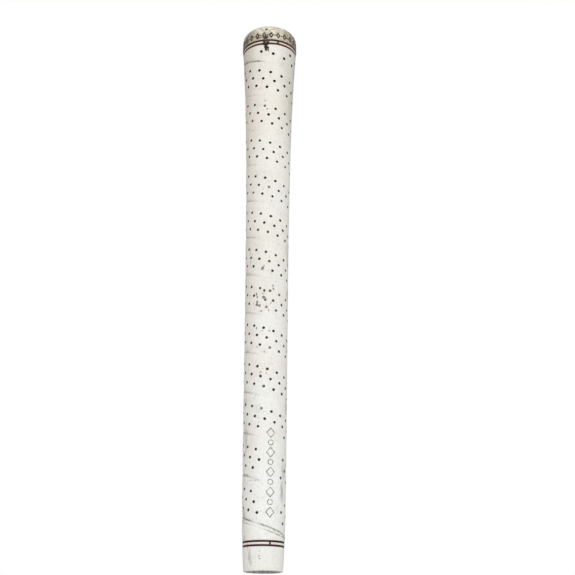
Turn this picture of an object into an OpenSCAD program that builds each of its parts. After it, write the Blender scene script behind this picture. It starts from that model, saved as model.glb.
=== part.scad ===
// Golf grip: a slip-on grip moulded to look like a wound, perforated wrap.
// The frame is the grip's own axis. The origin is the centre of the mouth, where
// the shaft enters, and +Z runs up the axis to the butt. Angles are measured from
// +X, counter-clockwise as seen from the butt. The sizes are those of the grip
// fitted on its shaft. The painted grooves, dots and marks are separate solids
// that fill the lower part of their recesses.

/* [Sleeve] */
// Length of the rubber sleeve, from the mouth to the joint with the cap
sleeve_length = 257.7; // [250:0.1:264]
// Outer radius at the mouth if the straight taper ran all the way down
body_radius = 9.67; // [9.4:0.01:10.2]
// How much the radius grows for each millimetre towards the butt
body_taper = 0.0027; // [0:0.0001:0.006]
// Extra radius of the flare at the butt
butt_flare = 3.18; // [2.5:0.01:3.6]
// Length over which the flare fades to about a third
flare_fade = 42; // [30:1:50]
// How far the mouth draws in below the taper
mouth_draw = 1.07; // [0.6:0.01:1.2]
// Length over which the draw fades to about a third
mouth_fade = 12.7; // [8:0.1:18]
// Radius of the rounded edge of the mouth
mouth_round = 0.4; // [0.2:0.05:0.5]

/* [Shaft bore] */
// Radius of the bore: a shaft of 15.24 mm (0.600 in) with 0.13 mm of tape on it
bore_radius = 7.75; // [7.6:0.01:7.8]
// Height of the shaft's seat above the joint between sleeve and cap
seat_rise = 2.8; // [1:0.1:3.5]

/* [End cap] */
// Greatest radius of the cap
cap_radius = 13.7; // [13.5:0.01:13.9]
// Height of the cap above the joint
cap_height = 10.3; // [9:0.1:11]
// Squareness of the cap's shoulder: 2 is an ellipse, more is squarer
cap_power = 5; // [4:0.1:6]
// Radius of the skirt that holds the cap in the sleeve
skirt_radius = 10.4; // [9.6:0.1:10.8]
// Length of that skirt
skirt_length = 8; // [5:0.5:10]
// Radius of the vent hole in the cap's crown
vent_radius = 1.3; // [1:0.05:1.6]

/* [Painted stripes] */
// Width of each stripe
stripe_width = 0.75; // [0.5:0.05:0.9]
// Depth of the stripes' grooves
groove_depth = 0.35; // [0.3:0.05:0.4]
// How far the paint lies below the surface
paint_sink = 0.1; // [0.05:0.01:0.15]
// Distance between the two stripes of a pair, centre to centre
stripe_pitch = 1.75; // [1.6:0.05:2]
// Height of the upper stripe of the pair at the mouth
mouth_stripe_height = 12.35; // [10:0.05:14]
// Angle of the short tick that joins the two stripes of a pair
tick_angle = -72; // [-180:1:180]

/* [Perforations] */
// Dots in one full turn of a row
dots_per_turn = 13.5; // [13.5:1:15.5]
// How far a row falls in one full turn
turn_pitch = 18.95; // [18.5:0.01:19.5]
// Rows that run side by side
row_count = 3; // [2:1:3]
// Distance between two rows, along the axis
row_gap = 4.25; // [4:0.05:4.5]
// How far each row starts round from the one above, in dots
row_shift = 0.344; // [0.3:0.001:0.5]
// Angle of the first dot of the first row
first_dot_angle = -86.9; // [-180:0.1:180]
// Height of that dot
first_dot_height = 240.2; // [230:0.1:245]
// How far the rows slip round, at the most, where the winding is uneven
slip_angle = 7.2; // [0:0.1:10]
// Height where they slip most
slip_height = 144; // [100:1:180]
// Length over which the slip fades to about a third
slip_fade = 43; // [20:1:60]
// How far the rows sag towards the mouth, at the most
sag = 1.08; // [0:0.01:1.5]
// Height where they sag most
sag_height = 160; // [100:1:200]
// Length over which the sag fades to about a third
sag_fade = 45; // [20:1:60]
// Radius of a dot
dot_radius = 0.62; // [0.5:0.01:0.7]
// Depth of a dot's recess
dot_depth = 0.5; // [0.4:0.05:0.6]
// How far a dot's paint lies below the surface
dot_sink = 0.12; // [0.05:0.01:0.3]
// Height below which there are no dots
lowest_dot = 19; // [17:0.5:24]
// Height above which there are no dots
highest_dot = 252.8; // [245:0.1:253]

/* [Seam] */
// Height of the wrap's seam at angle 0, on the turn nearest the butt
seam_height = 240.7; // [236:0.1:244]
// How far the seam falls in one full turn
seam_pitch = 18.87; // [18.5:0.01:19.5]
// Height of its end near the butt
seam_top = 253.5; // [250:0.1:254]
// Height of its end near the mouth
seam_bottom = 15; // [14.5:0.1:18]
// Width of the crease along the seam
seam_width = 0.4; // [0.2:0.05:0.5]
// Depth of that crease
seam_depth = 0.14; // [0.1:0.01:0.3]

/* [Plain panel] */
// Angle of the middle of the panel without dots
panel_angle = -74; // [-180:1:180]
// Half of the angle that the panel spans
panel_half_angle = 27.5; // [15:0.5:40]
// Height of the panel's lower end
panel_bottom = 20; // [19:0.5:25]
// Height of the panel's upper end
panel_top = 64; // [50:0.5:80]
// Number of outlined shapes pressed into the panel: diamonds and rings in turn
shape_count = 9; // [3:2:9]
// Distance between two shapes' centres
shape_pitch = 4.35; // [4:0.05:4.4]
// Height of a diamond in the panel
shape_height = 4.7; // [4:0.1:5]
// Width of a diamond in the panel
shape_width = 4; // [3:0.1:5]
// Radius of a ring in the panel, to the outside of its line
shape_radius = 1.25; // [0.8:0.05:1.5]
// Width of the lines that draw the shapes
shape_line = 0.25; // [0.2:0.05:0.4]
// Depth of those lines
shape_depth = 0.12; // [0.1:0.01:0.2]

/* [Marks round the cap] */
// Number of diamonds round the cap, with a dot between each two
mark_count = 24; // [18:1:26]
// Height of the marks' centres above the joint
mark_rise = 3; // [2.8:0.1:3.4]
// Height of a diamond
diamond_height = 3.4; // [2:0.1:3.6]
// Width of a diamond
diamond_width = 2.4; // [1.6:0.1:2.6]
// Width of the line that draws a diamond
mark_line = 0.55; // [0.3:0.05:0.6]
// Depth of the marks
mark_depth = 0.35; // [0.3:0.05:0.4]
// How far the marks' paint lies below the surface
mark_sink = 0.12; // [0.05:0.01:0.15]

/* [Hidden] */
// How far a cutting tool stands out past the surface that it cuts
clear = 1;
// Steps along the sleeve's curved outline, and along the cap's shoulder
sleeve_steps = 32;
shoulder_steps = 18;
butt_stripe_height = sleeve_length;
// Angle between two sections of the seam's crease, and how far its V stands out
seam_step = 15;
seam_clear = 0.3;
seat_height = sleeve_length + seat_rise;
// First and last place along a row, counted in dots from the first dot
places_per_mm = dots_per_turn / turn_pitch;
rows_height = (row_count - 1) * row_gap;
first_place = -ceil((highest_dot - first_dot_height + rows_height) * places_per_mm) - row_count;
last_place = ceil((first_dot_height - lowest_dot) * places_per_mm);

// Outer radius of the sleeve at height z
function sleeve_radius(z) =
    body_radius + body_taper * z
    + butt_flare * exp((z - sleeve_length) / flare_fade)
    - mouth_draw * exp(-z / mouth_fade);

// Radius of the cap at a share of its height, from 0 at the joint to 1 at the top
function cap_outline(share) = cap_radius * pow(1 - pow(share, cap_power), 1 / cap_power);

// Angle a brought to the range -180 to 180
function wrapped(a) = a - 360 * round(a / 360);

function on_panel(angle, z) =
    z > panel_bottom && z < panel_top && abs(wrapped(angle - panel_angle)) < panel_half_angle;

// 1 at height z, falling to about a third at a distance of fade from it
function near(x, z, fade) = exp(-pow((x - z) / fade, 2));

// Height of a dot if the winding were even
function even_height(place, row) =
    first_dot_height - place / dots_per_turn * turn_pitch - row * row_gap;

function dot_angle(place, z) =
    first_dot_angle + place * 360 / dots_per_turn + slip_angle * near(z, slip_height, slip_fade);

function dot_height(z) = z - sag * near(z, sag_height, sag_fade);

// Angle and height of every dot
dots = [
    for (row = [0:row_count - 1], step = [first_place:last_place])
        let (
            place = step + row * row_shift,
            even = even_height(place, row),
            angle = dot_angle(place, even),
            z = dot_height(even)
        )
        if (z > lowest_dot && z < highest_dot && !on_panel(angle, z)) [angle, z]
];

// Angle of the seam at height z, counted on from the turn nearest the butt
function seam_angle(z) = (seam_height - z) / seam_pitch * 360;

// A round bar that points out along the radius at a given angle and height
module radial_bar(angle, z, from, to, radius) {
    rotate([0, 0, angle])
        translate([from, 0, z])
            rotate([0, 90, 0])
                cylinder(r = radius, h = to - from, $fn = 24);
}

// A flat ring round the axis
module ring(z, inner, outer) {
    translate([0, 0, z - stripe_width / 2])
        difference() {
            cylinder(r = outer, h = stripe_width, $fn = 96);
            translate([0, 0, -clear])
                cylinder(r = inner, h = stripe_width + 2 * clear, $fn = 96);
        }
}

// A pair of stripes joined by a tick. The top one is centred on height z.
// It starts at the grooves' depth and ends at an offset from the surface.
module stripe_pair(z, end) {
    low = z - stripe_pitch;
    high_radius = sleeve_radius(z);
    low_radius = sleeve_radius(low);
    ring(z, high_radius - groove_depth, high_radius + end);
    ring(low, low_radius - groove_depth, low_radius + end);
    rotate([0, 0, tick_angle])
        translate([low_radius - groove_depth, -stripe_width / 2, low])
            cube([groove_depth + end, stripe_width, stripe_pitch]);
}

// The dots, from their floor to an offset from the surface
module dot_bars(end) {
    for (dot = dots)
        radial_bar(
            dot[0], dot[1],
            sleeve_radius(dot[1]) - dot_depth, sleeve_radius(dot[1]) + end,
            dot_radius
        );
}

// The crease along the seam: a V that is swept down the helix, from past its upper
// end to past its lower end, and widens in proportion as it stands out of the surface
module seam_crease() {
    first = seam_angle(seam_top);
    last = seam_angle(seam_bottom);
    count = ceil((last - first) / seam_step);
    spread = seam_width / 2 * (seam_depth + seam_clear) / seam_depth;
    points = [
        for (i = [0:count])
            let (
                angle = first + (last - first) * i / count,
                z = seam_height - angle / 360 * seam_pitch,
                inner = sleeve_radius(z) - seam_depth,
                outer = sleeve_radius(z) + seam_clear
            )
            each [
                [inner * cos(angle), inner * sin(angle), z],
                [outer * cos(angle), outer * sin(angle), z + spread],
                [outer * cos(angle), outer * sin(angle), z - spread],
            ]
    ];
    sides = [
        for (i = [0:count - 1], k = [0:2])
            let (a = 3 * i + k, b = 3 * i + (k + 1) % 3)
            each [[b, a, a + 3], [b, a + 3, b + 3]]
    ];
    polyhedron(points, concat([[0, 1, 2], [3 * count + 2, 3 * count + 1, 3 * count]], sides));
}

// A prism of diamond section that points out along +X
module diamond_bar(from, to, width, height) {
    x = width / 2;
    y = height / 2;
    translate([from, 0, 0])
        rotate([90, 0, 90])
            linear_extrude(to - from)
                polygon([[-x, 0], [0, -y], [x, 0], [0, y]]);
}

// The outline of a diamond, as a bar with a diamond-shaped hole along it
module diamond_line(from, to, width, height, line) {
    // Distance from the diamond's centre to its sides
    reach = width * height / 2 / norm([width, height]);
    inner = 1 - line / reach;
    difference() {
        diamond_bar(from, to, width, height);
        diamond_bar(from - clear, to + clear, width * inner, height * inner);
    }
}

// The chain of outlined shapes that is pressed into the plain panel
module panel_shapes() {
    for (i = [0:shape_count - 1]) {
        z = (panel_bottom + panel_top) / 2 + (i - (shape_count - 1) / 2) * shape_pitch;
        radius = sleeve_radius(z);
        if (i % 2 == 0)
            rotate([0, 0, panel_angle])
                translate([0, 0, z])
                    diamond_line(
                        radius - shape_depth, radius + clear,
                        shape_width, shape_height, shape_line
                    );
        else
            difference() {
                radial_bar(panel_angle, z, radius - shape_depth, radius + clear, shape_radius);
                radial_bar(panel_angle, z, radius - clear, radius + 2 * clear, shape_radius - shape_line);
            }
    }
}

// The outlined diamonds and the dots round the cap
module cap_marks(end) {
    z = sleeve_length + mark_rise;
    floor_radius = cap_outline(mark_rise / cap_height) - mark_depth;
    end_radius = floor_radius + mark_depth + end;
    for (i = [0:mark_count - 1]) {
        angle = tick_angle + i * 360 / mark_count;
        rotate([0, 0, angle])
            translate([0, 0, z])
                diamond_line(floor_radius, end_radius, diamond_width, diamond_height, mark_line);
        radial_bar(angle + 180 / mark_count, z, floor_radius, end_radius, mark_line * 0.7);
    }
}

// The moulded rubber sleeve
module grip_sleeve() {
    outline = concat(
        [for (a = [-90:30:0])
            [sleeve_radius(mouth_round) + mouth_round * (cos(a) - 1), mouth_round * (1 + sin(a))]],
        [for (i = [1:sleeve_steps])
            let (z = mouth_round + (sleeve_length - mouth_round) * i / sleeve_steps)
            [sleeve_radius(z), z]],
        [[0, sleeve_length], [0, 0]]
    );
    color("ivory")
        difference() {
            rotate_extrude($fn = 96)
                polygon(outline);
            translate([0, 0, -clear])
                cylinder(r = bore_radius, h = sleeve_length + 2 * clear, $fn = 96);
            translate([0, 0, sleeve_length - skirt_length])
                cylinder(r = skirt_radius, h = skirt_length + clear, $fn = 96);
            stripe_pair(butt_stripe_height, clear);
            stripe_pair(mouth_stripe_height, clear);
            dot_bars(clear);
            seam_crease();
            panel_shapes();
        }
}

// The harder end cap, with a skirt that is bonded inside the sleeve
module end_cap() {
    outline = concat(
        [[0, -skirt_length], [skirt_radius, -skirt_length], [skirt_radius, 0]],
        [for (i = [0:shoulder_steps])
            let (a = 90 * i / shoulder_steps)
            [cap_radius * pow(cos(a), 2 / cap_power), cap_height * pow(sin(a), 2 / cap_power)]]
    );
    color("tan")
        difference() {
            translate([0, 0, sleeve_length])
                rotate_extrude($fn = 96)
                    polygon(outline);
            translate([0, 0, sleeve_length - skirt_length - clear])
                cylinder(r = bore_radius, h = skirt_length + seat_rise + clear, $fn = 96);
            cylinder(r = vent_radius, h = sleeve_length + cap_height + clear, $fn = 48);
            stripe_pair(butt_stripe_height, clear);
            cap_marks(clear);
        }
}

module butt_stripe_paint() {
    color("maroon")
        stripe_pair(butt_stripe_height, -paint_sink);
}

module mouth_stripe_paint() {
    color("maroon")
        stripe_pair(mouth_stripe_height, -paint_sink);
}

module perforation_paint() {
    color("black")
        dot_bars(-dot_sink);
}

module cap_mark_paint() {
    color("saddlebrown")
        cap_marks(-mark_sink);
}

grip_sleeve();
end_cap();
butt_stripe_paint();
mouth_stripe_paint();
perforation_paint();
cap_mark_paint();
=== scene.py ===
import math
import random

import bpy
import numpy as np
from mathutils import Matrix, Vector
from mathutils.geometry import delaunay_2d_cdt


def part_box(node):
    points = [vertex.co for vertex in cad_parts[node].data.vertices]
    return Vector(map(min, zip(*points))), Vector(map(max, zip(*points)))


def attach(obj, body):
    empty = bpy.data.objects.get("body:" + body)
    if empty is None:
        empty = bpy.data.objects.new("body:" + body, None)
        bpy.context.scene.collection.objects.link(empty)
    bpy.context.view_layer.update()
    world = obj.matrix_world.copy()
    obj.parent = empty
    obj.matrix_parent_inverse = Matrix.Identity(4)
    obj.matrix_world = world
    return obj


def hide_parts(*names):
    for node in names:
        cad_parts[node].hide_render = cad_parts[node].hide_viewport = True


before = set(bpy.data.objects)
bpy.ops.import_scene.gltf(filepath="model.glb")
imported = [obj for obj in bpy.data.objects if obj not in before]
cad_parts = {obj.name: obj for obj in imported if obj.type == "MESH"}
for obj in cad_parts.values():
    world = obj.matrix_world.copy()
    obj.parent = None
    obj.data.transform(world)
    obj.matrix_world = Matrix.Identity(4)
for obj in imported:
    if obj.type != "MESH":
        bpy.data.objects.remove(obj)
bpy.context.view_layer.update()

# Lengths are in metres and angles in degrees. Angles run round the grip's axis from +X,
# counter-clockwise as seen from the butt. The mouth's centre is the origin, +Z is the butt.
MM = 0.001
ROOT = "root"

# The sleeve's outline, as in the CAD
SLEEVE_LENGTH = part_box("grip_sleeve")[1][2]
BODY_RADIUS = 9.67 * MM
BODY_TAPER = 0.0027
BUTT_FLARE = 3.18 * MM
FLARE_FADE = 42 * MM
MOUTH_DRAW = 1.07 * MM
MOUTH_FADE = 12.7 * MM
MOUTH_ROUND = 0.4 * MM
BORE_RADIUS = 7.75 * MM

# The end cap
CAP_RADIUS = 13.7 * MM
CAP_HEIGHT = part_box("end_cap")[1][2] - SLEEVE_LENGTH
CAP_POWER = 5
# Share of the cap's height from which even rows of points run up to the corner
SHOULDER_START = 0.54
SKIRT_RADIUS = 10.4 * MM
SKIRT_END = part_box("end_cap")[0][2]
SEAT_HEIGHT = SLEEVE_LENGTH + 2.8 * MM
VENT_RADIUS = 1.3 * MM

# The painted stripes: each pair is two grooves and a tick that joins them
STRIPE_WIDTH = 0.75 * MM
GROOVE_DEPTH = 0.35 * MM
STRIPE_PITCH = 1.75 * MM
BUTT_STRIPE = SLEEVE_LENGTH
MOUTH_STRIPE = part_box("mouth_stripe_paint")[1][2] - STRIPE_WIDTH / 2
TICK_ANGLE = -72
# Section of the paint in a groove: half widths across, and millimetres below the skin
PAINT_SECTION = ((-1, 0.33), (-1, 0.09), (-0.5, 0.12), (0.5, 0.12), (1, 0.09), (1, 0.33))

# The perforations
DOTS_PER_TURN = 13.5
TURN_PITCH = 18.95 * MM
ROW_COUNT = 3
ROW_GAP = 4.25 * MM
ROW_SHIFT = 0.344
FIRST_DOT_ANGLE = -86.9
FIRST_DOT_HEIGHT = 240.2 * MM
SLIP_ANGLE, SLIP_HEIGHT, SLIP_FADE = 7.2, 144 * MM, 43 * MM
SAG, SAG_HEIGHT, SAG_FADE = 1.08 * MM, 160 * MM, 45 * MM
DOT_RADIUS = 0.62 * MM
DOT_DEPTH = 0.5 * MM
LOWEST_DOT = 19 * MM
HIGHEST_DOT = 252.8 * MM
DOT_SIDES = 16

# The panel without dots, and the chain of outlined shapes that is pressed into it
PANEL_ANGLE = -74
PANEL_HALF_ANGLE = 27.5
PANEL_BOTTOM = 20 * MM
PANEL_TOP = 64 * MM
SHAPE_COUNT = 9
SHAPE_PITCH = 4.35 * MM
SHAPE_HEIGHT = 4.7 * MM
SHAPE_WIDTH = 4 * MM
SHAPE_RADIUS = 1.25 * MM
SHAPE_LINE = 0.25 * MM
SHAPE_DEPTH = 0.12 * MM

# The wrap's seam, a helix that falls as the angle grows, and is plainest on one side
SEAM_HEIGHT = 240.7 * MM
SEAM_PITCH = 18.87 * MM
SEAM_START, SEAM_FADED = 253 * MM, 255.5 * MM
SEAM_END = 14 * MM
SEAM_SIDE = 197
# Where its first turn is plainer, and where the next ones are fainter
FIRST_TURN = 247 * MM
FAINT_TURNS, FAINT_SPREAD = 212 * MM, 24 * MM
# The seam's tail near the mouth: where a second crease joins it, and the gap between the two
TAIL_START, TAIL_FULL, TAIL_WIDEST = 24.5 * MM, 21.5 * MM, 17.5 * MM
TAIL_GAP = 1.65 * MM
TAIL_CLEAN_ANGLE = -112
# A faint fold that runs some way beside the second turn of the seam, this far above it
FOLD_RISE = 3.4 * MM
FOLD_ANGLE, FOLD_HEIGHT = -119, 228 * MM
# The seam's relief in millimetres, as a depth and the width over which it fades
LOWER_LAP, UPPER_LAP, CREASE = (0.26, 2.4), (0.12, 1.5), (0.16, 0.24)
SECOND_CREASE = (0.10, 0.2)

# The marks round the cap
MARK_COUNT = 24
MARK_HEIGHT = SLEEVE_LENGTH + 3 * MM
DIAMOND_HEIGHT = 3.4 * MM
DIAMOND_WIDTH = 2.4 * MM
MARK_LINE = 0.55 * MM
MARK_DEPTH = 0.35 * MM
MARK_DOT_RADIUS = 0.7 * MARK_LINE
MARK_DOT_SIDES = 12

# Each skin is unrolled at a cut at its back. The cap's cut passes between two marks.
SLEEVE_CUT = 97.0
CAP_CUT = 98.4
COLUMNS = 168
SLEEVE_BAND = 14 * MM, 255 * MM
CAP_BAND = SLEEVE_LENGTH + 0.8 * MM, SLEEVE_LENGTH + 5.4 * MM
# Distances between the points of the skins
SLEEVE_SPACING, CAP_SPACING, CREASE_SPACING = 0.95 * MM, 0.8 * MM, 0.15 * MM
# Soil on the sleeve is dirt and painted shade: up to this value it darkens the rubber, and
# above it, it turns into dark paint
DARKEST_BEFORE_PAINT = 0.73
# Faces that meet at more than this angle show an edge
SHARP_ANGLE = 38
# Width of a groove's steep wall and of the soft edge above it
WALL = 0.05 * MM
SOFT_EDGE = 0.15 * MM


# ---- surfaces

def sleeve_radius(z):
    return (
        BODY_RADIUS + BODY_TAPER * z
        + BUTT_FLARE * np.exp((z - SLEEVE_LENGTH) / FLARE_FADE)
        - MOUTH_DRAW * np.exp(-z / MOUTH_FADE)
    )


def cap_radius(z):
    share = (z - SLEEVE_LENGTH) / CAP_HEIGHT
    return CAP_RADIUS * np.power(1 - np.power(share, CAP_POWER), 1 / CAP_POWER)


def wrapped(angle):
    return angle - 360 * np.round(angle / 360)


def faded(x, start, end):
    """0 at start and 1 at end, with a soft turn at both."""
    t = np.clip((x - start) / (end - start), 0, 1)
    return t * t * (3 - 2 * t)


def hump(x, middle, spread):
    """1 at the middle, and falling off on both sides of it."""
    return np.exp(-np.square((x - middle) / spread))


def seam_distance(angle, z):
    """Height above the nearest turn of the seam, along the axis. It is negative below it."""
    turn = (SEAM_HEIGHT - z) / SEAM_PITCH - angle / 360
    last = np.floor((SEAM_HEIGHT - SEAM_END) / SEAM_PITCH - angle / 360)
    return (np.minimum(np.round(turn), last) - turn) * SEAM_PITCH


def seam_side(angle):
    """1 on the -X side, where the seam is plainest, and 0 opposite."""
    return 0.5 + 0.5 * np.cos(np.radians(angle - SEAM_SIDE))


def seam_tail(seam_z):
    """1 along the last part of the seam near the mouth, where a second crease joins it."""
    return faded(seam_z, TAIL_START, TAIL_FULL) * faded(seam_z, SEAM_END, SEAM_END + 1 * MM)


def tail_gap(seam_z):
    """Distance between the two creases of the tail. They draw together towards the end."""
    return TAIL_GAP * (0.35 + 0.65 * faded(seam_z, SEAM_END, TAIL_WIDEST))


def seam_force(seam_z):
    """Each turn of the seam is plain to its own degree: the first more, the next three less."""
    first = 0.55 * hump(seam_z, FIRST_TURN, 8 * MM)
    return 1 + first - 0.5 * hump(seam_z, FAINT_TURNS, FAINT_SPREAD)


def seam_strength(angle, seam_z):
    """How deep the seam is at a place along it."""
    drift = 0.85 + 0.15 * np.sin(np.radians(angle) * 2 + seam_z / (23 * MM))
    ends = faded(seam_z, SEAM_END, SEAM_END + 1.2 * MM) * faded(seam_z, SEAM_FADED, SEAM_START)
    deep = (0.08 + 0.92 * seam_side(angle) ** 3) * seam_force(seam_z)
    return np.maximum(deep, 0.8 * seam_tail(seam_z)) * drift * ends


def seam_relief(angle, z):
    """The wrap's bands: each is a little crowned, and a fine crease runs between two."""
    above = seam_distance(angle, z)
    seam_z = z - above
    lower_edge = LOWER_LAP[0] * np.exp(-np.maximum(above, 0) / (LOWER_LAP[1] * MM))
    upper_edge = UPPER_LAP[0] * np.exp(np.minimum(above, 0) / (UPPER_LAP[1] * MM))
    crease = CREASE[0] * hump(above, 0, CREASE[1] * MM)
    second = hump(above, -tail_gap(seam_z), SECOND_CREASE[1] * MM)
    band = np.where(above > 0, lower_edge, upper_edge) + crease
    tail = SECOND_CREASE[0] * seam_tail(seam_z) * second
    return -(band * seam_strength(angle, seam_z) + tail) * MM


def seam_soil_and_shade(angle, z):
    """How dark the creases are: dirt in them, and on the -X side painted shade along the seam
    and on the band above one.
    """
    turn = wrapped(angle)
    above = seam_distance(angle, z)
    seam_z = z - above
    tail = seam_tail(seam_z) * (1 - 0.72 * hump(turn, TAIL_CLEAN_ANGLE, 12))
    ends = faded(seam_z, SEAM_FADED, SEAM_START)
    # Painted shade: the seam's line and the band above it are darkest on the -X side
    side = seam_side(angle) ** 5 * seam_force(seam_z) ** 1.5
    dark_spot = 0.45 * hump(turn, -117, 10) * hump(seam_z, FIRST_TURN, 5 * MM)
    line = np.maximum(0.58 * side + dark_spot, DARKEST_BEFORE_PAINT * tail) * hump(above, 0, 0.42 * MM)
    second = DARKEST_BEFORE_PAINT * tail * (1 - 0.85 * hump(turn, TAIL_CLEAN_ANGLE, 24))
    second = second * hump(above, -tail_gap(seam_z), 0.27 * MM)
    shade = 0.3 * side * np.where(above > 0, np.exp(-np.maximum(above, 0) / (1.4 * MM)), 0)
    fold = hump(turn, FOLD_ANGLE, 20) * hump(seam_z, FOLD_HEIGHT, 4 * MM)
    fold = 0.3 * (fold * hump(above, FOLD_RISE, 0.45 * MM))
    return np.minimum(np.maximum(line * ends, shade) + second + fold, DARKEST_BEFORE_PAINT)


def ripple(angle, z):
    """Slight unevenness of the moulding. It is the same at both sides of the cut."""
    a = np.radians(angle)
    return (
        0.020 * np.sin(2 * a + z / (31 * MM))
        + 0.014 * np.sin(3 * a - z / (17 * MM) + 1.3)
        + 0.010 * np.sin(5 * a + z / (9 * MM) + 0.4)
        + 0.007 * np.sin(7 * a - z / (6.1 * MM) + 2.2)
    ) * MM


def sleeve_skin(angle, z):
    """Radius of the sleeve's outside, without its dots, grooves and pressed shapes."""
    low, high = SLEEVE_BAND
    calm = faded(z, low, 20 * MM) * faded(z, high, 250 * MM)
    return sleeve_radius(z) + seam_relief(angle, z) + ripple(angle, z) * calm


# ---- places

def on_panel(angle, z):
    across = abs(wrapped(angle - PANEL_ANGLE)) < PANEL_HALF_ANGLE
    return across and PANEL_BOTTOM < z < PANEL_TOP


def dot_places():
    """Angle and height of every dot, by the same rule as in the CAD."""
    per_length = DOTS_PER_TURN / TURN_PITCH
    above = HIGHEST_DOT - FIRST_DOT_HEIGHT + (ROW_COUNT - 1) * ROW_GAP
    first = -math.ceil(above * per_length) - ROW_COUNT
    last = math.ceil((FIRST_DOT_HEIGHT - LOWEST_DOT) * per_length)
    places = []
    for row in range(ROW_COUNT):
        for step in range(first, last + 1):
            place = step + row * ROW_SHIFT
            even = FIRST_DOT_HEIGHT - place / DOTS_PER_TURN * TURN_PITCH - row * ROW_GAP
            angle = FIRST_DOT_ANGLE + place * 360 / DOTS_PER_TURN
            angle += SLIP_ANGLE * hump(even, SLIP_HEIGHT, SLIP_FADE)
            z = even - SAG * hump(even, SAG_HEIGHT, SAG_FADE)
            if LOWEST_DOT < z < HIGHEST_DOT and not on_panel(angle, z):
                places.append((angle, z))
    return places


DOTS = dot_places()


def circle(radius, sides, turn=0.0):
    a = np.radians(np.arange(sides) * 360 / sides + turn)
    return radius * np.cos(a), radius * np.sin(a)


def diamond(half_width, half_height, inset, spacing=0.25 * MM):
    """An upright diamond whose sides lie inset inside the given one, with points along them."""
    reach = half_width * half_height / math.hypot(half_width, half_height)
    share = (reach - inset) / reach
    corners = [(half_width, 0), (0, half_height), (-half_width, 0), (0, -half_height)]
    count = max(2, round(math.hypot(half_width, half_height) * share / spacing))
    xs, ys = [], []
    for k in range(4):
        (x0, y0), (x1, y1) = corners[k], corners[(k + 1) % 4]
        for i in range(count):
            t = i / count
            xs.append(share * (x0 + (x1 - x0) * t))
            ys.append(share * (y0 + (y1 - y0) * t))
    return np.array(xs), np.array(ys)


def panel_shapes():
    """Centre height and outline function of each shape pressed into the plain panel."""
    shapes = []
    for i in range(SHAPE_COUNT):
        z = (PANEL_BOTTOM + PANEL_TOP) / 2 + (i - (SHAPE_COUNT - 1) / 2) * SHAPE_PITCH
        if i % 2:
            shapes.append((z, lambda inset: circle(SHAPE_RADIUS - inset, 20)))
        else:
            shapes.append((z, lambda inset: diamond(SHAPE_WIDTH / 2, SHAPE_HEIGHT / 2, inset)))
    return shapes


# ---- mesh building

def new_object(name, data):
    obj = bpy.data.objects.new(name, data)
    bpy.context.scene.collection.objects.link(obj)
    return obj


class Mesh:
    """Vertices and faces of one piece, with a soil value at each vertex: dirt and painted shade
    on rubber, wear on paint.
    """

    def __init__(self):
        self.blocks = []
        self.soils = []
        self.faces = []
        self.count = 0

    def add(self, angle, radius, z, soil=0.0):
        """Adds points given by angle, radius and height, and returns their indices."""
        a = np.radians(angle)
        block = np.column_stack([radius * np.cos(a), radius * np.sin(a), z + 0 * a])
        self.blocks.append(block)
        self.soils.append(np.broadcast_to(soil, len(block)).astype(float))
        first = self.count
        self.count += len(block)
        return np.arange(first, self.count)

    def around(self, angle, z, dx, dz, radius, soil):
        """Adds points round a place on a skin, at a given radius from the axis."""
        return self.add(angle + np.degrees(dx / radius), radius, z + dz, soil)

    def join(self, low, high):
        """Quads between two closed rings with the same number of points."""
        low_next, high_next = np.roll(low, -1), np.roll(high, -1)
        self.faces.extend(np.column_stack([low, low_next, high_next, high]).tolist())

    def stack(self, rings):
        """Quads between each ring and the next."""
        for low, high in zip(rings, rings[1:]):
            self.join(low, high)

    def fan(self, ring, centre, flip=False):
        for a, b in zip(ring, np.roll(ring, -1)):
            self.faces.append((b, a, centre) if flip else (a, b, centre))

    def piece(self, name, material, replaces):
        used = np.unique(np.concatenate([np.array(face) for face in self.faces]))
        place = np.zeros(self.count, int)
        place[used] = np.arange(len(used))
        mesh = bpy.data.meshes.new(name)
        points = np.concatenate(self.blocks)[used].tolist()
        mesh.from_pydata(points, [], [place[list(face)].tolist() for face in self.faces])
        soil = mesh.attributes.new("soil", "FLOAT", "POINT")
        soil.data.foreach_set("value", np.concatenate(self.soils)[used])
        mesh.shade_smooth()
        mesh.set_sharp_from_angle(angle=math.radians(SHARP_ANGLE))
        mesh.materials.append(material)
        obj = new_object(name, mesh)
        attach(obj, ROOT)
        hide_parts(*replaces)
        return obj


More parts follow.
